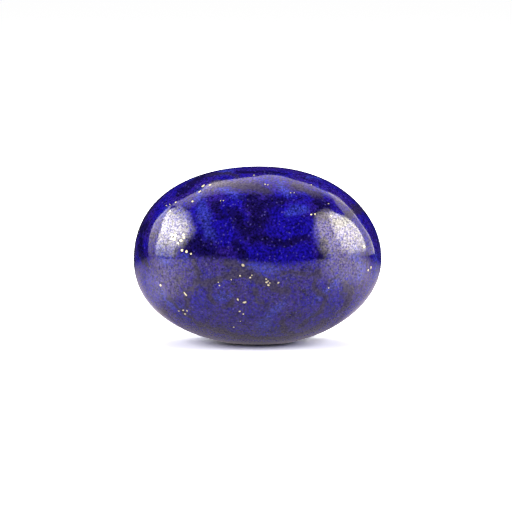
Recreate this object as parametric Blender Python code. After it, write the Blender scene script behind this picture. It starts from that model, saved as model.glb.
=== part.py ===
"""A polished lapis lazuli pebble that stands on a small flat worn into its lower edge.

Metres, +Z up. +X runs along the stone's length and -Y is the side that it shows. The origin is on
the flat, under the middle of the stone.
"""

import bmesh
import bpy

LENGTH = 0.0250  # end to end, along X
DEPTH = 0.0188  # front to back, along Y
HEIGHT = 0.0179  # from the flat to the crown
FOOT_WEAR = 0.00012  # how much of the round lower edge is gone where the stone rests

OVAL_POWER = 2.09  # 2 is a plain ellipse, and a little more fills out its shoulders
THREE_LOBES = 0.0022 + 0.0028j  # shares of the radius, round the oval that the front shows
FIVE_LOBES = 0.0038 + 0.0031j
SKEW = 0.010  # the oval seen from above leans a little to one corner
TIP = 0.006  # the oval seen from the end leans a little forward at the crown
BACK_FLATNESS = 0.030  # share of the radius that the middle of the back has lost

SPHERE_LEVEL = 5  # 5120 triangles before the flat is cut
SNAP = 0.000003  # corners this near the flat are drawn onto it

LAPIS_BLUE = (0.020, 0.011, 0.160, 1.0)
POLISH_ROUGHNESS = 0.16


def clear_scene():
    for obj in list(bpy.data.objects):
        bpy.data.objects.remove(obj, do_unlink=True)


def stone_radius(x, y, z):
    """Radius of the stone in the unit direction (x, y, z), before its length, depth and height."""
    power_sum = abs(x) ** OVAL_POWER + abs(y) ** OVAL_POWER + abs(z) ** OVAL_POWER
    oval = power_sum ** (-1.0 / OVAL_POWER)
    front = complex(x, z)
    lobes = (THREE_LOBES * front**3).real + (FIVE_LOBES * front**5).real
    lean = SKEW * x * y - TIP * y * z
    back = BACK_FLATNESS * max(y, 0.0) ** 4
    return oval * (1.0 + lobes + lean - back)


def bounds(mesh):
    """Lowest and highest coordinate along each axis."""
    axes = list(zip(*(vert.co for vert in mesh.verts)))
    return [min(axis) for axis in axes], [max(axis) for axis in axes]


def round_stone(mesh):
    """A sphere drawn out to the stone's form and size, its lowest point below Z 0 by the wear."""
    bmesh.ops.create_icosphere(mesh, subdivisions=SPHERE_LEVEL, radius=1.0)
    for vert in mesh.verts:
        vert.co = vert.co.normalized() * stone_radius(*vert.co.normalized())
    low, high = bounds(mesh)
    size = (LENGTH, DEPTH, HEIGHT + FOOT_WEAR)
    scale = [side / (top - bottom) for side, top, bottom in zip(size, high, low)]
    bmesh.ops.scale(mesh, vec=scale, verts=mesh.verts)
    low, high = bounds(mesh)
    middle_x, middle_y = (low[0] + high[0]) / 2, (low[1] + high[1]) / 2
    bmesh.ops.translate(mesh, vec=(-middle_x, -middle_y, -low[2] - FOOT_WEAR), verts=mesh.verts)


def wear_foot(mesh):
    """Cuts the flat at Z 0 and closes it with one flat face."""
    everything = mesh.verts[:] + mesh.edges[:] + mesh.faces[:]
    bmesh.ops.bisect_plane(
        mesh,
        geom=everything,
        dist=SNAP,
        plane_co=(0, 0, 0),
        plane_no=(0, 0, -1),
        use_snap_center=True,
        clear_outer=True,
    )
    rim = [edge for edge in mesh.edges if edge.is_boundary]
    bmesh.ops.contextual_create(mesh, geom=rim)
    bmesh.ops.recalc_face_normals(mesh, faces=mesh.faces)


def lapis_material():
    material = bpy.data.materials.new("lapis")
    material.use_nodes = True
    surface = material.node_tree.nodes["Principled BSDF"]
    surface.inputs["Base Color"].default_value = LAPIS_BLUE
    surface.inputs["Roughness"].default_value = POLISH_ROUGHNESS
    surface.inputs["Metallic"].default_value = 0.0
    material.diffuse_color = LAPIS_BLUE
    return material


def lapis_stone():
    mesh = bmesh.new()
    round_stone(mesh)
    wear_foot(mesh)
    data = bpy.data.meshes.new("lapis_stone")
    mesh.to_mesh(data)
    mesh.free()
    data.materials.append(lapis_material())
    data.shade_smooth()
    stone = bpy.data.objects.new("lapis_stone", data)
    bpy.context.scene.collection.objects.link(stone)
    return stone


clear_scene()
lapis_stone()
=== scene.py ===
import math
import random

import bmesh
import bpy
import numpy as np
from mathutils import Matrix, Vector, noise
from mathutils.bvhtree import BVHTree


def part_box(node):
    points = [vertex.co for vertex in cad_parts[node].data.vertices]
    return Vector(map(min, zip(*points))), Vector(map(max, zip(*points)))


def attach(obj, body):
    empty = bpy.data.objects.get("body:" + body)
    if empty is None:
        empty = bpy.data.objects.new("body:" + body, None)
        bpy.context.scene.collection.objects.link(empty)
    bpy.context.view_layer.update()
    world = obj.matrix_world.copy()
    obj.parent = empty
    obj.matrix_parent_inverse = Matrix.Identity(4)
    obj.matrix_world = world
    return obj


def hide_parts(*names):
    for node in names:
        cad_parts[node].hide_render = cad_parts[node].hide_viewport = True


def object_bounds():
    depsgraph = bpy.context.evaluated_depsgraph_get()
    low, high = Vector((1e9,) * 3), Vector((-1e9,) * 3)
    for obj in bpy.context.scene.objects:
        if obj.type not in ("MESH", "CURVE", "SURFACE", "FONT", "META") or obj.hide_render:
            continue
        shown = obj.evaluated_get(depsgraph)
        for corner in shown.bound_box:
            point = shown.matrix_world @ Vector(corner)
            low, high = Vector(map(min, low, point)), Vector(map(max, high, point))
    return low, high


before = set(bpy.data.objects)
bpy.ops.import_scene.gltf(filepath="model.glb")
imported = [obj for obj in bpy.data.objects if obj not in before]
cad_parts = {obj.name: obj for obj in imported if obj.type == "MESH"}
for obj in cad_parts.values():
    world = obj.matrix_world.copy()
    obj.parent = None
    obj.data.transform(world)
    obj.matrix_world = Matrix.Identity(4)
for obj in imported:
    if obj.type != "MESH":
        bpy.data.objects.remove(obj)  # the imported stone: one node on one body
cadLow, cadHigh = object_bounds()
mm = 0.001
print("frame loaded")


# camera
camera = {
    "lens": 200.0,  # on a 36 mm sensor
    "distance": 0.2867,
    "elevation": 6.0,
    "aside": -0.16 * mm,  # the stone stands a little right of the picture's middle
    "below": -0.08 * mm,
}
lift = math.radians(camera["elevation"])
toCamera = Vector((0.0, -math.cos(lift), math.sin(lift)))
rightOfView = Vector((1.0, 0.0, 0.0))
upOfView = rightOfView.cross(-toCamera)
aimPoint = (cadLow + cadHigh) / 2 + Vector((camera["aside"], 0.0, camera["below"]))
eyePoint = aimPoint + toCamera * camera["distance"]


def placeCamera():
    data = bpy.data.cameras.new("camera")
    data.lens = camera["lens"]
    data.clip_start, data.clip_end = 0.01, 20.0
    eye = bpy.data.objects.new("camera", data)
    eye.location = eyePoint
    eye.rotation_euler = (-toCamera).to_track_quat("-Z", "Y").to_euler()
    bpy.context.scene.collection.objects.link(eye)
    bpy.context.scene.camera = eye


placeCamera()
print("camera placed")


# the stone's form
form = {
    "level": 7,  # 81 920 triangles
    "ovalPower": 2.09,
    "threeLobes": 0.0022 + 0.0028j,
    "fiveLobes": 0.0038 + 0.0031j,
    "skew": 0.010,
    "tip": 0.006,
    "backFlatness": 0.030,
    "footWear": 0.12 * mm,
    "footSoftness": 0.02 * mm,  # how gently the flat's rim turns
    "wave": 0.006 * mm,  # slow waves that hand polishing leaves
    "waveScale": 0.45 / mm,
}


def stoneRadius(x, y, z):
    power = form["ovalPower"]
    oval = (abs(x) ** power + abs(y) ** power + abs(z) ** power) ** (-1.0 / power)
    front = complex(x, z)
    lobes = (form["threeLobes"] * front**3).real + (form["fiveLobes"] * front**5).real
    lean = form["skew"] * x * y - form["tip"] * y * z
    back = form["backFlatness"] * max(y, 0.0) ** 4
    return oval * (1.0 + lobes + lean - back)


def meshBounds(mesh):
    points = np.array([vert.co for vert in mesh.verts])
    return Vector(points.min(0)), Vector(points.max(0))


def shapeStone():
    mesh = bmesh.new()
    bmesh.ops.create_icosphere(mesh, subdivisions=form["level"], radius=1.0)
    for vert in mesh.verts:
        way = vert.co.normalized()
        vert.co = way * stoneRadius(*way)
    low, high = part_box("lapis_stone")
    low.z -= form["footWear"]
    nowLow, nowHigh = meshBounds(mesh)
    size, nowSize = high - low, nowHigh - nowLow
    bmesh.ops.scale(mesh, vec=[size[i] / nowSize[i] for i in range(3)], verts=mesh.verts)
    nowLow, nowHigh = meshBounds(mesh)
    bmesh.ops.translate(mesh, vec=low - nowLow, verts=mesh.verts)
    mesh.normal_update()
    for vert in mesh.verts:
        wave = noise.noise(vert.co * form["waveScale"]) * form["wave"]
        vert.co -= vert.normal * max(0.0, wave)
        vert.co.z = (vert.co.z + math.hypot(vert.co.z, form["footSoftness"])) / 2  # the worn flat
    bmesh.ops.recalc_face_normals(mesh, faces=mesh.faces)
    data = bpy.data.meshes.new("polishedStone")
    mesh.to_mesh(data)
    mesh.free()
    data.shade_smooth()
    stone = bpy.data.objects.new("polishedStone", data)
    bpy.context.scene.collection.objects.link(stone)
    return stone


stone = shapeStone()
surface = BVHTree.FromPolygons(
    [vert.co for vert in stone.data.vertices], [list(face.vertices) for face in stone.data.polygons]
)
print("stone shaped", len(stone.data.polygons), "triangles")


def onStone(u, v):
    # the point of the stone seen u mm right and v mm above the middle of its picture
    middle = (cadLow + cadHigh) / 2
    seen = middle + rightOfView * u * mm + upOfView * v * mm
    way = (seen - eyePoint).normalized()
    hit = surface.ray_cast(eyePoint, way)[0]
    return hit if hit is not None else surface.find_nearest(seen)[0]


# the patches and veins of the side that the photograph shows: a half width in mm, then the
# line that the patch follows, in mm right of and above the middle of the picture
frontStrokes = {
    "vein": [
        (0.35, [(-6.2, -0.2), (-6.2, -1.3), (-6.1, -2.5), (-6.4, -3.1), (-6.8, -3.7), (-7.0, -4.5),
                (-7.2, -5.1)]),
        (0.55, [(-5.8, -2.9), (-4.6, -2.5), (-3.6, -2.1), (-2.6, -2.0), (-1.8, -1.7), (-0.8, -2.0),
                (0.4, -2.5)]),
        (0.50, [(0.4, -2.5), (1.4, -2.8), (2.5, -3.6), (3.3, -3.5)]),
        (0.50, [(-3.2, -0.7), (-2.2, -1.1), (-1.4, -1.5)]),
        (0.40, [(-4.6, -2.5), (-5.0, -3.3), (-4.6, -4.2), (-4.2, -4.8)]),
        (0.35, [(-0.3, -3.5), (-0.2, -4.2), (0.4, -4.8)]),
        (0.40, [(-2.6, -4.7), (-3.2, -5.1)]),
        (0.35, [(2.6, -1.9), (3.9, -2.0), (4.9, -1.8), (6.1, -1.5)]),
        (0.60, [(-5.3, -7.0), (-4.3, -7.6), (-3.0, -7.9), (-0.8, -8.3), (2.2, -8.3), (4.3, -8.0),
                (5.8, -7.5), (6.8, -6.7)]),
        (0.35, [(2.4, -6.7), (2.8, -7.5), (3.5, -7.9)]),
        (0.35, [(6.1, -2.0), (5.8, -2.8), (6.1, -3.7), (6.8, -4.5), (6.5, -5.5), (5.5, -6.3), (4.3, -7.1)]),
        (0.50, [(8.8, -3.0), (9.3, -4.0), (9.0, -5.0), (8.1, -5.7)]),
        (0.35, [(-8.8, -4.5), (-8.2, -5.3), (-7.4, -5.9), (-6.6, -6.5), (-5.8, -7.1)]),
        (0.70, [(-4.3, 7.3), (-2.3, 7.0), (-0.3, 6.9), (0.6, 6.4)]),
        (0.50, [(3.9, 7.0), (5.3, 6.4), (6.1, 6.0)]),
        (0.45, [(-4.9, 8.1), (-3.3, 8.3), (-2.0, 7.9)]),
    ],
    "dark": [
        (1.10, [(-0.8, 5.6), (0.0, 4.8), (0.4, 4.0), (-0.3, 3.1)]),
        (0.80, [(0.4, 5.1), (1.4, 5.4), (2.4, 5.6)]),
        (0.90, [(-6.3, 1.5), (-5.5, 1.0), (-5.0, 0.4), (-4.6, 0.1)]),
        (0.60, [(-7.3, 0.9), (-6.6, 0.5)]),
        (0.80, [(-2.6, 4.4), (-1.8, 3.3), (-1.2, 2.5)]),
        (0.70, [(6.1, 5.3), (6.9, 4.8), (6.1, 4.0)]),
        (0.60, [(6.5, 1.5), (6.9, 0.5), (6.3, -0.3)]),
        (0.50, [(-0.3, 1.6), (1.5, 1.2), (3.3, 1.4), (5.0, 1.6)]),
        (0.60, [(-2.3, 1.0), (-1.5, 0.3), (-1.0, -0.3)]),
        (0.60, [(-4.3, 5.0), (-3.6, 4.0)]),
        (0.70, [(-11.9, 1.5), (-11.7, 0.0), (-11.3, -0.7)]),
        (0.50, [(-1.8, 8.4), (0.4, 8.4), (2.7, 8.2)]),
    ],
    "azure": [
        (0.60, [(-5.8, 6.6), (-5.8, 5.6), (-5.6, 4.4), (-5.2, 3.1), (-4.5, 1.9)]),
        (0.50, [(-3.6, 6.8), (-3.0, 6.2), (-1.8, 6.0)]),
        (0.40, [(-9.7, 4.0), (-9.0, 4.8), (-8.2, 5.2)]),
        (0.50, [(2.4, 7.4), (2.6, 6.8), (3.1, 6.2)]),
        (0.35, [(5.8, 7.1), (6.5, 6.6), (7.5, 6.0)]),
        (0.50, [(3.3, 4.3), (4.6, 4.7)]),
        (0.50, [(11.9, -0.1), (12.0, -1.1), (11.7, -2.5), (11.2, -3.3)]),
        (0.60, [(9.7, 0.5), (10.3, -0.7), (10.5, -2.1)]),
        (0.45, [(6.1, -4.2), (6.8, -3.7), (7.8, -2.9)]),
        (0.60, [(0.5, -7.2), (1.0, -6.5), (1.7, -5.7), (2.5, -5.0)]),
        (0.80, [(-9.8, 0.4), (-9.3, -0.5)]),
        (0.60, [(-9.7, -3.7), (-9.2, -4.7), (-8.1, -5.3)]),
        (0.60, [(-0.9, -1.1), (0.2, -1.5), (1.6, -1.4)]),
        (0.50, [(-7.3, -0.3), (-7.2, -0.2)]),
        (0.40, [(-4.0, -4.3), (-3.0, -4.1)]),
        (0.40, [(5.5, -6.1), (5.6, -6.0)]),
    ],
    "royal": [
        (1.30, [(-0.6, 0.3), (0.7, -0.2), (2.7, -0.3), (4.6, 0.3)]),
        (1.60, [(2.2, 4.1), (3.5, 3.0), (4.8, 2.7)]),
        (1.00, [(-2.8, 5.0), (-3.6, 3.5), (-3.3, 2.0)]),
    ],
}
# the same patches elsewhere on the stone: how many, half width in mm, length in brush steps
otherStrokes = {
    "vein": (34, (0.30, 0.65), (4, 11)),
    "dark": (22, (0.5, 1.1), (2, 6)),
    "azure": (26, (0.35, 0.7), (2, 6)),
    "royal": (12, (0.9, 1.5), (2, 5)),
}


brush = {
    "seed": 11,
    "softness": 0.8,  # how fast a stroke fades beside its line
    "wobble": ((0.8, 0.45), (2.3, 0.20)),  # waves per mm and mm, which make the edges ragged
    "step": 0.9,  # in mm, and the values below are for the unseen sides
    "bend": 0.45,
    "fullTurn": 6.3,
    "seenFrom": 0.12,  # a line starts where the surface faces the camera less than this
    "outside": 0.02,  # a reach that is past the stone's surface everywhere
}


def wander(dice, steps):
    # a line that wanders over the unseen sides
    while True:
        way = Vector([dice.gauss(0.0, 1.0) for axis in range(3)]).normalized()
        start, normal = surface.find_nearest((cadLow + cadHigh) / 2 + way * brush["outside"])[:2]
        if normal.dot(toCamera) < brush["seenFrom"]:
            break
    heading = normal.orthogonal().normalized()
    ahead = heading * math.cos(brush["fullTurn"] * dice.random())
    aside = normal.cross(heading) * dice.uniform(-1, 1)
    heading = (ahead + aside).normalized()
    line = [start]
    for turn in range(steps):
        heading = (heading + normal.cross(heading) * dice.gauss(0.0, brush["bend"])).normalized()
        point, normal = surface.find_nearest(line[-1] + heading * brush["step"] * mm)[:2]
        heading = (heading - normal * heading.dot(normal)).normalized()
        line.append(point)
    return line


def allStrokes(kind, dice):
    strokes = [(width, [onStone(u, v) for u, v in line]) for width, line in frontStrokes[kind]]
    count, widths, lengths = otherStrokes[kind]
    for number in range(count):
        strokes.append((dice.uniform(*widths), wander(dice, dice.randint(*lengths))))
    return strokes


def paintStrokes(points, strokes):
    # 1 on the strokes, falling softly to 0 beside them
    cover = np.zeros(len(points))
    for width, line in strokes:
        for start, end in zip(line, line[1:]):
            a, along = np.array(start), np.array(end - start)
            share = ((points - a) @ along / max(along @ along, 1e-12)).clip(0.0, 1.0)
            away = np.linalg.norm(points - a - share[:, None] * along, axis=1) / (width * mm)
            cover = np.maximum(cover, np.exp(-brush["softness"] * away**2))
    return cover


def paintMasks():
    dice = random.Random(brush["seed"])
    noise.seed_set(brush["seed"])  # noise_vector starts from the clock otherwise
    ragged = []
    for vert in stone.data.vertices:
        place = vert.co / mm
        shift = sum((noise.noise_vector(place * waves) * by for waves, by in brush["wobble"]), Vector())
        ragged.append(vert.co + shift * mm)
    points = np.array(ragged)
    for kind in frontStrokes:
        cover = paintStrokes(points, allStrokes(kind, dice))
        layer = stone.data.attributes.new(kind, "FLOAT", "POINT")
        layer.data.foreach_set("value", cover.astype(np.float32))


paintMasks()
print("patches painted")


# shader helpers
def feed(tree, socket, value):
    if isinstance(value, bpy.types.NodeSocket):
        tree.links.new(value, socket)
    else:
        socket.default_value = value


def math1(tree, operation, *values):
    made = tree.nodes.new("ShaderNodeMath")
    made.operation = operation
    for socket, value in zip(made.inputs, values):
        feed(tree, socket, value)
    return made.outputs[0]


def vector1(tree, operation, *values):
    made = tree.nodes.new("ShaderNodeVectorMath")
    made.operation = operation
    for socket, value in zip([s for s in made.inputs if s.enabled], values):
        feed(tree, socket, value)
    return [s for s in made.outputs if s.enabled][0]


def scaled(tree, vector, factor):
    made = vector1(tree, "SCALE", vector)
    made.node.inputs["Scale"].default_value = factor
    return made


def around(tree, value, strength):
    # a noise value moved to run from below 0 to above 0
    return math1(tree, "MULTIPLY", math1(tree, "SUBTRACT", value, 0.5), strength)


def step(tree, value, low, high, toLow=0.0, toHigh=1.0):
    # a smooth step while value goes from low to high
    made = tree.nodes.new("ShaderNodeMapRange")
    made.interpolation_type = "SMOOTHSTEP"
    numbers = {"Value": value, "From Min": low, "From Max": high, "To Min": toLow, "To Max": toHigh}
    for name, number in numbers.items():
        feed(tree, made.inputs[name], number)
    return made.outputs["Result"]


def ramp(tree, value, stops):
    made = tree.nodes.new("ShaderNodeValToRGB")
    points = made.color_ramp.elements
    while len(points) < len(stops):
        points.new(1.0)
    for point, (place, colour) in zip(points, stops):
        point.position = place
        point.color = (*colour, 1.0)
    feed(tree, made.inputs["Fac"], value)
    return made.outputs["Color"]


def blend(tree, share, under, over, kind="MIX"):
    made = tree.nodes.new("ShaderNodeMix")
    made.data_type, made.blend_type = "RGBA", kind
    feed(tree, made.inputs[0], share)
    for socket, colour in zip(made.inputs[6:8], (under, over)):
        feed(tree, socket, (*colour, 1.0) if isinstance(colour, tuple) else colour)
    return made.outputs[2]


def cloud(tree, place, scale, detail, rough, output="Fac"):
    made = tree.nodes.new("ShaderNodeTexNoise")
    feed(tree, made.inputs["Vector"], place)
    for name, number in (("Scale", scale), ("Detail", detail), ("Roughness", rough)):
        made.inputs[name].default_value = number
    return made.outputs[output]


def grains(tree, place, scale):
    made = tree.nodes.new("ShaderNodeTexVoronoi")
    feed(tree, made.inputs["Vector"], place)
    made.inputs["Scale"].default_value = scale
    return made


def mask(tree, name):
    made = tree.nodes.new("ShaderNodeAttribute")
    made.attribute_name = name
    return made.outputs["Fac"]


# lapis
lapis = {
    "violetBlue": (0.022, 0.009, 0.190),
    "royal": (0.009, 0.004, 0.270),
    "azure": (0.032, 0.038, 0.370),
    "dark": (0.005, 0.0025, 0.040),
    "vein": (0.016, 0.009, 0.060),
    "veinPale": (0.045, 0.034, 0.100),
    "paleGrain": (0.110, 0.085, 0.400),
    "pyrite": (0.950, 0.860, 0.560),
    "roughness": 0.07,
    # noises: size per mm, detail, roughness
    "raggedNoise": (3.2, 3.0, 0.6),
    "patchNoise": (1.6, 6.0, 0.72),
    "broadNoise": (0.42, 4.0, 0.6),
    "spotNoise": (0.9, 4.0, 0.65),
    "grainNoise": (4.6, 2.0, 0.65),
    "fleckNoise": (7.0, 2.0, 0.6),
    "glossNoise": (5.5, 1.0, 0.5),
    "bumpNoise": (3.6, 3.0, 0.7),
    "cellsPerMm": 4.2,
    "raggedBy": 0.30,  # mm
    "patchRagged": 1.5,
    "fleckRagged": 1.1,
    # ranges: where the step starts and ends, and its values there if they aren't 0 and 1
    "patchEdges": {"royal": (0.15, 0.90), "azure": (0.15, 1.05), "dark": (0.20, 0.90), "vein": (0.15, 0.85)},
    "broadRange": (0.40, 0.66),
    "spotRange": (0.52, 0.72, 0.0, 0.75),
    "grainRange": (0.32, 0.70, 0.35, 1.95),
    "coreRange": (0.55, 0.15),
    "paleRange": (0.80, 0.98, 0.0, 0.75),
    "veinRange": (0.40, 0.72),
    "goldRange": (1.10, 0.80),
    "rimRange": (2.1, 1.2, 0.0, 0.75),
    "glossRange": (0.28, 0.72, 0.18, 0.82),
    "finishRange": (0.3, 0.7, -0.02, 0.03),
    "patchStrength": 0.85,
    "veinStrength": 0.92,
    "goldMetal": 0.55,
    "dullVein": 0.05,
    "dullGold": 0.3,
    "bumpDepth": 0.0012 * mm,
}
# pyrite on the shown side: u, v, width, height in mm, tilt in degrees
pyrite = [
    (-8.60, 2.05, 0.32, 0.30, 0), (-8.28, 2.00, 0.26, 0.34, 20), (-8.42, 1.62, 0.34, 0.24, 0),
    (-8.68, 1.68, 0.20, 0.20, 0), (-7.50, 2.05, 0.22, 0.24, 0), (-7.44, 1.80, 0.24, 0.20, 0),
    (-7.73, 1.48, 0.30, 0.20, 30), (-8.00, 1.20, 0.20, 0.16, 0), (-7.62, 0.50, 0.26, 0.24, 0),
    (-7.17, 0.35, 0.28, 0.30, 0), (-6.71, 0.14, 0.20, 0.18, -30), (-1.47, -1.01, 0.30, 0.26, -20),
    (-1.77, -2.08, 0.18, 0.17, 0), (-0.75, -2.26, 0.20, 0.14, 30), (-0.57, -2.02, 0.12, 0.12, 0),
    (-2.66, -2.46, 0.12, 0.12, 0), (-3.96, -2.73, 0.13, 0.13, 0), (-3.85, -3.06, 0.14, 0.12, 0),
    (0.86, -2.41, 0.18, 0.15, -40), (0.90, -2.74, 0.20, 0.18, 0), (1.05, -2.62, 0.14, 0.14, 0),
    (1.23, -2.80, 0.14, 0.12, 0), (1.09, -3.02, 0.26, 0.18, -30), (2.10, -2.78, 0.22, 0.15, 30),
    (-2.00, -4.46, 0.18, 0.30, 20), (-1.31, -4.75, 0.38, 0.20, 20), (-1.80, -5.66, 0.22, 0.14, 20),
    (-1.44, -5.93, 0.16, 0.14, 0), (-1.73, -6.67, 0.10, 0.10, 0), (-2.40, -7.25, 0.18, 0.14, 20),
    (-9.78, -3.03, 0.24, 0.24, 0), (-7.27, -3.93, 0.50, 0.14, -55), (-7.50, -5.55, 0.26, 0.15, 40),
    (-7.12, -5.60, 0.16, 0.28, -15), (-7.30, -5.92, 0.26, 0.16, 20), (-7.95, -5.63, 0.20, 0.12, 0),
    (-6.56, 5.43, 0.24, 0.22, 0), (-5.83, 6.43, 0.34, 0.12, 35), (-5.50, 6.98, 0.42, 0.20, 40),
    (-4.79, 7.08, 0.26, 0.14, 10), (-9.21, 5.00, 0.16, 0.12, 0), (-8.86, 5.13, 0.14, 0.12, 0),
    (-8.26, 5.34, 0.20, 0.14, 20), (-8.82, 4.44, 0.16, 0.20, 0), (-3.73, 5.50, 0.13, 0.13, 0),
    (-3.44, 5.50, 0.13, 0.13, 0), (-0.36, 8.07, 0.20, 0.13, 0), (0.77, 7.16, 0.16, 0.16, 0),
    (1.04, 7.10, 0.12, 0.12, 0), (3.33, 6.30, 0.14, 0.13, 0), (3.68, 6.30, 0.10, 0.10, 0),
    (5.42, 7.10, 0.15, 0.15, 0), (5.42, 4.10, 0.18, 0.17, 0), (5.78, 4.14, 0.18, 0.20, 0),
    (7.15, 5.20, 0.12, 0.12, 0), (7.43, 4.00, 0.14, 0.22, 20), (10.73, 0.88, 0.30, 0.26, 20),
    (11.43, -1.25, 0.20, 0.30, -30), (11.15, -1.50, 0.15, 0.28, 25), (7.17, -3.30, 0.13, 0.13, 0),
]


def fleckField(tree, place, flecks):
    # distance to the nearest fleck, 1 at its rim
    nearest = None
    for u, v, width, height, tilt in flecks:
        turned = tree.nodes.new("ShaderNodeMapping")
        turned.vector_type = "TEXTURE"
        turned.inputs["Location"].default_value = onStone(u, v) / mm
        turned.inputs["Rotation"].default_value = (0.0, -math.radians(tilt), 0.0)
        turned.inputs["Scale"].default_value = (width / 2, width / 2, height / 2)
        tree.links.new(place, turned.inputs["Vector"])
        away = vector1(tree, "LENGTH", turned.outputs[0])
        nearest = away if nearest is None else math1(tree, "MINIMUM", nearest, away)
    return nearest


def lapisMaterial():
    material = bpy.data.materials.new("lapis")
    material.use_nodes = True
    tree = material.node_tree
    shader = tree.nodes["Principled BSDF"]
    inMetres = tree.nodes.new("ShaderNodeTexCoord").outputs["Object"]
    place = scaled(tree, inMetres, 1 / mm)  # coordinates in mm from here on
    drift = cloud(tree, place, *lapis["raggedNoise"], output="Color")
    drift = vector1(tree, "SUBTRACT", drift, (0.5, 0.5, 0.5))
    ragged = vector1(tree, "ADD", place, scaled(tree, drift, lapis["raggedBy"]))

    # soft patches
    edge = around(tree, cloud(tree, place, *lapis["patchNoise"]), lapis["patchRagged"])
    shares = {}
    for kind, edges in lapis["patchEdges"].items():
        shares[kind] = step(tree, math1(tree, "ADD", mask(tree, kind), edge), *edges)
    broad = step(tree, cloud(tree, ragged, *lapis["broadNoise"]), *lapis["broadRange"])
    colour = blend(tree, broad, lapis["violetBlue"], lapis["royal"])
    colour = blend(tree, shares["royal"], colour, lapis["royal"])
    for kind in ("azure", "dark"):
        share = math1(tree, "MULTIPLY", shares[kind], lapis["patchStrength"])
        colour = blend(tree, share, colour, lapis[kind])
    darkSpots = step(tree, cloud(tree, ragged, *lapis["spotNoise"]), *lapis["spotRange"])
    colour = blend(tree, darkSpots, colour, lapis["dark"])

    # grain
    grain = cloud(tree, place, *lapis["grainNoise"])
    colour = vector1(tree, "MULTIPLY", colour, step(tree, grain, *lapis["grainRange"]))
    cells = grains(tree, ragged, lapis["cellsPerMm"])
    cellDice = tree.nodes.new("ShaderNodeSeparateColor")
    tree.links.new(cells.outputs["Color"], cellDice.inputs[0])
    core = step(tree, cells.outputs["Distance"], *lapis["coreRange"])
    pale = math1(tree, "MULTIPLY", core, step(tree, cellDice.outputs[0], *lapis["paleRange"]))
    colour = blend(tree, pale, colour, lapis["paleGrain"])
    veinColour = blend(tree, step(tree, grain, *lapis["veinRange"]), lapis["vein"], lapis["veinPale"])
    colour = blend(tree, math1(tree, "MULTIPLY", shares["vein"], lapis["veinStrength"]), colour, veinColour)

    # pyrite
    uneven = around(tree, cloud(tree, place, *lapis["fleckNoise"]), lapis["fleckRagged"])
    distance = math1(tree, "ADD", fleckField(tree, place, pyrite), uneven)
    gold = step(tree, distance, *lapis["goldRange"])
    colour = blend(tree, step(tree, distance, *lapis["rimRange"]), colour, lapis["dark"])
    colour = blend(tree, gold, colour, lapis["pyrite"])
    tree.links.new(colour, shader.inputs["Base Color"])
    tree.links.new(math1(tree, "MULTIPLY", gold, lapis["goldMetal"]), shader.inputs["Metallic"])

    # finish
    gloss = step(tree, cloud(tree, ragged, *lapis["glossNoise"]), *lapis["glossRange"])
    tree.links.new(gloss, shader.inputs["Specular IOR Level"])
    finish = math1(tree, "ADD", step(tree, grain, *lapis["finishRange"]), lapis["roughness"])
    for share, dullness in ((shares["vein"], lapis["dullVein"]), (gold, lapis["dullGold"])):
        finish = math1(tree, "ADD", finish, math1(tree, "MULTIPLY", share, dullness))
    tree.links.new(finish, shader.inputs["Roughness"])
    bump = tree.nodes.new("ShaderNodeBump")
    bump.inputs["Strength"].default_value = 1.0
    bump.inputs["Distance"].default_value = lapis["bumpDepth"]
    tree.links.new(cloud(tree, place, *lapis["bumpNoise"]), bump.inputs["Height"])
    tree.links.new(bump.outputs[0], shader.inputs["Normal"])
    return material


stone.data.materials.append(lapisMaterial())
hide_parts("lapis_stone")
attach(stone, "root")
print("stone coloured")


# stage
studio = {
    "floorSeen": 2.2,  # the camera sees the floor burnt out, as in the photograph
    "floorMirrored": 0.80,
    "mirroredTint": (0.80, 0.70, 0.76),
    "floorShade": 0.60,
    "background": 1.2,
    "darkRoom": 0.010,
    "fill": 0.45,
    "mirrorShadeDepth": 70 * mm,  # painted shade: the mirrored floor darkens over this depth behind the stone
    "mirrorLeft": 0.05,
    "floorHalf": 4.0,
}


def byRay(tree, plain, mirrored, seen):
    # one shader for soft light, one for the polish and one for the camera
    path = tree.nodes.new("ShaderNodeLightPath")
    chosen = plain
    for test, other in (("Is Glossy Ray", mirrored), ("Is Camera Ray", seen)):
        choice = tree.nodes.new("ShaderNodeMixShader")
        tree.links.new(path.outputs[test], choice.inputs[0])
        tree.links.new(chosen, choice.inputs[1])
        tree.links.new(other, choice.inputs[2])
        chosen = choice.outputs[0]
    return chosen


def paleFloor():
    material = bpy.data.materials.new("paleFloor")
    material.use_nodes = True
    tree = material.node_tree
    tree.nodes.clear()
    output = tree.nodes.new("ShaderNodeOutputMaterial")
    shades = []
    for strength in (studio["floorShade"], studio["floorMirrored"], studio["floorSeen"]):
        shade = tree.nodes.new("ShaderNodeBsdfDiffuse")
        shade.inputs["Color"].default_value = (strength, strength, strength, 1)
        shades.append(shade)
    parts = tree.nodes.new("ShaderNodeSeparateXYZ")
    tree.links.new(tree.nodes.new("ShaderNodeTexCoord").outputs["Object"], parts.inputs[0])
    # painted shade: the floor as the polish sees it grows darker behind the stone
    paintedShadeBehind = step(tree, parts.outputs["Y"], 0.0, studio["mirrorShadeDepth"], 1.0, studio["mirrorLeft"])
    tree.links.new(blend(tree, 1.0, paintedShadeBehind, studio["mirroredTint"], "MULTIPLY"), shades[1].inputs["Color"])
    tree.links.new(byRay(tree, *[shade.outputs[0] for shade in shades]), output.inputs["Surface"])
    return material


def layFloor():
    mesh = bmesh.new()
    bmesh.ops.create_grid(mesh, x_segments=1, y_segments=1, size=studio["floorHalf"])
    data = bpy.data.meshes.new("floor")
    mesh.to_mesh(data)
    mesh.free()
    data.materials.append(paleFloor())
    floor = bpy.data.objects.new("floor", data)
    bpy.context.scene.collection.objects.link(floor)


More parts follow.
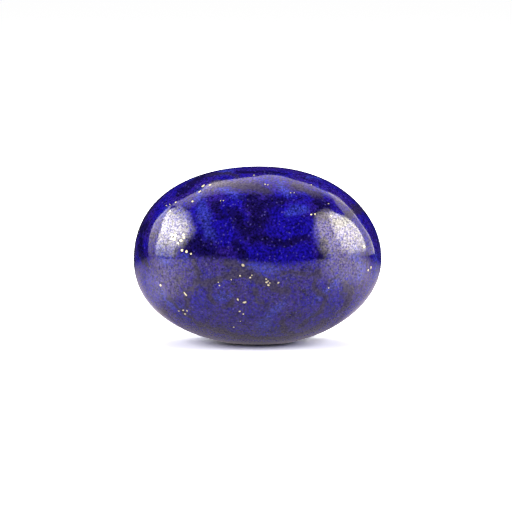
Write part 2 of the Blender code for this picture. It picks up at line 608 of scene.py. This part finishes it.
def lightWorld():
    # white behind the stone for the camera, a dark room in its polish, soft fill for the rest
    world = bpy.data.worlds.new("studio")
    world.use_nodes = True
    tree = world.node_tree
    tree.nodes.clear()
    output = tree.nodes.new("ShaderNodeOutputWorld")
    tones = []
    for strength in (studio["fill"], studio["darkRoom"], studio["background"]):
        tone = tree.nodes.new("ShaderNodeBackground")
        tone.inputs["Color"].default_value = (1, 1, 1, 1)
        tone.inputs["Strength"].default_value = strength
        tones.append(tone.outputs[0])
    tree.links.new(byRay(tree, *tones), output.inputs["Surface"])
    bpy.context.scene.world = world


lamps = {
    # place, size in metres, power in watts
    "topLamp": ((0.0, 0.12, 0.45), 0.40, 1.6),
    "leftLamp": ((-0.32, -0.14, 0.22), 0.22, 0.7),
    "rightLamp": ((0.32, -0.14, 0.22), 0.22, 0.7),
}


def hangLamps():
    for name, (place, size, power) in lamps.items():
        data = bpy.data.lights.new(name, "AREA")
        data.shape, data.size, data.energy = "SQUARE", size, power
        lamp = bpy.data.objects.new(name, data)
        lamp.location = place
        lamp.rotation_euler = (-Vector(place)).to_track_quat("-Z", "Y").to_euler()
        lamp.visible_camera = False
        lamp.visible_glossy = False
        bpy.context.scene.collection.objects.link(lamp)


cardRules = {
    "ceilingShare": 0.8,  # the ceiling's height, as a share of the card's reach
    "groundLift": 0.0005,  # a ground card's height, as a share of its reach
    "rampTop": 3.0,  # a colour ramp holds 0 to 1, so brightness is stored as a share of this
}


def fromSky(azimuth, elevation, reach):
    # a point of the sky: azimuth 0 is towards the camera, positive to its right
    a, e = math.radians(azimuth), math.radians(elevation)
    way = Vector((math.sin(a) * math.cos(e), -math.cos(a) * math.cos(e), math.sin(e)))
    return (cadLow + cadHigh) / 2 + way * reach


def fromCeiling(x, y, reach):
    # a point of the ceiling, in units of its height
    return (cadLow + cadHigh) / 2 + Vector((x, y, 1.0)) * reach * cardRules["ceilingShare"]


def fromGround(x, y, reach):
    # a point just above the floor, in mm
    return Vector((x * mm, y * mm, cardRules["groundLift"] * reach))


# glowing cards that only the polish shows: soft boxes around and above the stone, painted light lying on the
# floor, and one dark sheet;
# each is a strip between pairs of points, with its brightness across the pairs and from the first pair to
# the last
cards = {
    "leftBox": {
        "sky": [((-58, 0), (-91, 0)), ((-56, 8), (-94, 8)), ((-53, 15), (-95, 15)), ((-50, 25), (-99, 25)),
                ((-50, 33), (-110, 33)), ((-58, 41), (-118, 38)), ((-75, 51), (-112, 47))],
        "across": [(0.0, 0.0), (0.12, 0.25), (0.3, 0.85), (0.45, 1.0), (0.85, 0.95), (1.0, 0.85)],
        "up": [(0.0, 0.15), (0.17, 0.4), (0.33, 0.75), (0.5, 1.0), (0.67, 0.9), (0.83, 0.45), (1.0, 0.1)],
        "strength": 18.5,
        "tint": (1.0, 0.95, 0.78),
    },
    "leftFringe": {
        "sky": [((-88, -6), (-106, -6)), ((-88, -1), (-106, -1)), ((-90, 7), (-110, 7)),
                ((-92, 16), (-116, 16)),
                ((-96, 24), (-121, 24)), ((-104, 32), (-122, 32)), ((-112, 38), (-127, 39))],
        "across": [(0.0, 0.8), (0.9, 1.0), (1.0, 1.4)],
        "up": [(0.0, 0.30), (0.17, 0.33), (0.33, 0.45), (0.5, 0.8), (0.67, 1.0), (1.0, 0.9)],
        "strength": 4.2,
        "tint": (1.0, 0.90, 0.78),
    },
    "rightBox": {
        "sky": [((70, 3), (108, 3)), ((67, 11), (110, 11)), ((66, 20), (111, 20)), ((69, 29), (111, 29)),
                ((73, 36), (107, 36)), ((78, 41), (103, 41)), ((86, 47), (98, 47))],
        "across": [(0.0, 0.0), (0.12, 0.6), (0.3, 1.0), (0.95, 1.0), (1.0, 0.8)],
        "up": [(0.0, 0.2), (0.17, 0.6), (0.33, 0.8), (0.5, 1.0), (0.67, 1.0), (0.83, 0.85), (1.0, 0.35)],
        "strength": 12.5,
        "tint": (1.0, 0.95, 0.76),
    },
    "rightGrey": {
        "sky": [((49, -4), (104, -4)), ((47, 3), (104, 3)), ((44, 10), (104, 10)), ((43, 25), (100, 25)),
                ((48, 36), (98, 36)), ((58, 46), (102, 46)), ((67, 52), (100, 51))],
        "across": [(0.0, 0.0), (0.10, 0.45), (0.22, 1.0), (0.6, 1.0), (1.0, 0.4)],
        "up": [(0.0, 0.6), (0.17, 0.7), (0.33, 0.9), (0.5, 1.0), (0.67, 1.0), (0.83, 0.8), (1.0, 0.3)],
        "strength": 6.3,
        "tint": (1.0, 0.88, 0.76),
    },
    "rightWall": {
        "sky": [((102, -4), (129, -4)), ((102, 0), (129, 0)), ((102, 7), (128, 7)), ((102, 14), (127, 14)),
                ((102, 21), (126, 21)), ((102, 27), (130, 27)), ((106, 34), (137, 33)),
                ((122, 43), (145, 40))],
        "across": [(0.0, 1.0), (0.88, 1.0), (0.93, 2.4), (1.0, 2.4)],
        "up": [(0.0, 0.7), (0.15, 0.9), (0.4, 0.8), (0.8, 0.8), (1.0, 0.7)],
        "strength": 2.2,
        "tint": (1.0, 0.90, 0.82),
    },
    "overheadPanel": {
        "ceiling": [((-0.87, 0.03), (-0.97, 0.74)), ((-0.61, 0.02), (-0.70, 0.57)),
                    ((-0.50, 0.19), (-0.46, 0.58)),
                    ((-0.39, 0.18), (-0.36, 0.80)), ((-0.29, 0.16), (-0.27, 0.83)),
                    ((-0.15, 0.08), (-0.14, 0.78)),
                    ((-0.01, 0.04), (-0.01, 0.88)), ((0.08, 0.02), (0.06, 1.08)),
                    ((0.23, 0.07), (0.15, 1.06)),
                    ((0.30, 0.11), (0.27, 0.90)), ((0.50, 0.28), (0.44, 0.90)),
                    ((0.65, 0.52), (0.57, 0.88)),
                    ((0.82, 0.70), (0.91, 1.25)), ((1.03, 0.80), (1.13, 1.17))],
        "across": [(0.0, 0.1), (0.15, 0.4), (0.35, 0.7), (0.70, 1.1), (0.92, 1.3), (1.0, 1.3)],
        "up": [(0.0, 0.9), (0.15, 1.3), (0.25, 2.0), (0.32, 1.6), (0.5, 0.85), (0.75, 0.9), (1.0, 0.6)],
        "strength": 1.8,
        "tint": (1.0, 0.88, 0.80),
    },
    # painted light: a glowing sheet just above the floor left of the stone, brightening the floor where the
    # polish mirrors it
    "leftFloorPaintedLight": {
        "ground": [((-10, -13), (-15, 4)), ((-13, -16), (-19, 5)), ((-17, -22), (-29, 8)),
                   ((-37, -48), (-58, 16)), ((-215, -275), (-340, 90))],
        "across": [(0.0, 0.0), (0.16, 0.4), (0.34, 0.85), (0.55, 1.0), (0.82, 0.35), (1.0, 0.0)],
        "up": [(0.0, 0.0), (0.25, 0.65), (0.5, 1.0), (0.75, 0.9), (1.0, 0.7)],
        "strength": 2.3,
        "tint": (1.0, 0.88, 0.85),
    },
    # painted light: a glowing sheet just above the floor right of the stone, brightening the floor where the
    # polish mirrors it
    "rightFloorPaintedLight": {
        "ground": [((11, -13), (16, 7)), ((16, -18), (22, 10)), ((22, -26), (31, 14)),
                   ((39, -46), (54, 25)), ((260, -310), (370, 170))],
        "across": [(0.0, 0.0), (0.08, 0.17), (0.2, 0.7), (0.37, 1.0), (0.57, 0.8), (0.85, 0.3), (1.0, 0.0)],
        "up": [(0.0, 0.0), (0.25, 0.25), (0.5, 0.8), (0.75, 1.0), (1.0, 0.9)],
        "strength": 3.3,
        "tint": (1.0, 0.88, 0.80),
    },
    # painted light: a faint glow on the floor just in front of the stone, lightening its shadow where the
    # polish mirrors it
    "nearFloorPaintedLight": {
        "ground": [((-14, -2), (-2, 2)), ((-12, -9), (-1, -1)), ((0, -17), (0, -1)),
                   ((12, -9), (1, -1)), ((14, -2), (2, 2))],
        "across": [(0.0, 0.0), (0.3, 0.9), (0.6, 1.0), (1.0, 0.8)],
        "up": [(0.0, 0.5), (0.25, 0.9), (0.5, 1.0), (0.75, 0.9), (1.0, 0.5)],
        "strength": 0.35,
        "tint": (1.0, 0.88, 0.95),
    },
    "lowGlow": {
        "sky": [((-12, -2), (-72, -2)), ((-10, 1), (-72, 2)), ((-8, 2), (-72, 6))],
        "across": [(0.0, 0.0), (0.3, 0.6), (1.0, 1.0)],
        "up": [(0.0, 1.0), (0.5, 0.8), (1.0, 0.0)],
        "strength": 0.9,
        "tint": (1.0, 0.9, 0.9),
    },
    "frontShade": {
        "sky": [((-10, -1), (48, -1)), ((-6, 3), (44, 3))],
        "ground": [((-8, -72), (32, -66)), ((-14, -100), (60, -85)), ((-40, -250), (180, -200))],
        "across": [(0.0, 0.0), (0.25, 1.0), (0.8, 1.0), (1.0, 0.0)],
        "up": [(0.0, 0.0), (0.5, 0.9), (1.0, 1.0)],
        "strength": 0.0,  # this one only hides the floor behind it
        "tint": (1.0, 1.0, 1.0),
    },
}


def glowMaterial(name, card):
    material = bpy.data.materials.new(name)
    material.use_nodes = True
    tree = material.node_tree
    tree.nodes.clear()
    output = tree.nodes.new("ShaderNodeOutputMaterial")
    place = tree.nodes.new("ShaderNodeUVMap")
    place.uv_map = "card"
    parts = tree.nodes.new("ShaderNodeSeparateXYZ")
    tree.links.new(place.outputs[0], parts.inputs[0])
    top = cardRules["rampTop"]
    across = ramp(tree, parts.outputs["X"], [(p, (v / top,) * 3) for p, v in card["across"]])
    up = ramp(tree, parts.outputs["Y"], [(p, (v / top,) * 3) for p, v in card["up"]])
    profile = math1(tree, "MULTIPLY", math1(tree, "MULTIPLY", across, up), top * top)
    glow = tree.nodes.new("ShaderNodeEmission")
    glow.inputs["Color"].default_value = (*card["tint"], 1.0)
    through = tree.nodes.new("ShaderNodeBsdfTransparent")
    if card["strength"]:
        both = tree.nodes.new("ShaderNodeAddShader")
        tree.links.new(math1(tree, "MULTIPLY", profile, card["strength"]), glow.inputs["Strength"])
        tree.links.new(glow.outputs[0], both.inputs[0])
        tree.links.new(through.outputs[0], both.inputs[1])
    else:
        both = tree.nodes.new("ShaderNodeMixShader")
        glow.inputs["Strength"].default_value = 0.0
        tree.links.new(profile, both.inputs[0])
        tree.links.new(through.outputs[0], both.inputs[1])
        tree.links.new(glow.outputs[0], both.inputs[2])
    tree.links.new(both.outputs[0], output.inputs["Surface"])
    return material


def hangCards(reach=0.40, across=12, between=6):
    for name, card in cards.items():
        reach += 0.01
        pairs = []
        for kind, place in (("ground", fromGround), ("sky", fromSky), ("ceiling", fromCeiling)):
            for near, far in card.get(kind, []):
                pairs.append((place(*near, reach), place(*far, reach)))
        mesh = bmesh.new()
        sheetUv = mesh.loops.layers.uv.new("card")
        rows = []
        for part in range((len(pairs) - 1) * between + 1):
            first = min(part // between, len(pairs) - 2)
            share = part / between - first
            near = pairs[first][0].lerp(pairs[first + 1][0], share)
            far = pairs[first][1].lerp(pairs[first + 1][1], share)
            rows.append([mesh.verts.new(near.lerp(far, column / across)) for column in range(across + 1)])
        for r in range(len(rows) - 1):
            for c in range(across):
                corners = [(r, c), (r, c + 1), (r + 1, c + 1), (r + 1, c)]
                face = mesh.faces.new([rows[i][j] for i, j in corners])
                for loop, (i, j) in zip(face.loops, corners):
                    loop[sheetUv].uv = (j / across, i / (len(rows) - 1))
        data = bpy.data.meshes.new(name)
        mesh.to_mesh(data)
        mesh.free()
        data.materials.append(glowMaterial(name, card))
        sheet = bpy.data.objects.new(name, data)
        sheet.visible_camera = False
        sheet.visible_diffuse = False
        sheet.visible_shadow = False
        bpy.context.scene.collection.objects.link(sheet)


layFloor()
lightWorld()
hangLamps()
hangCards()
bpy.context.scene.view_settings.view_transform = "Standard"
print("stage set")
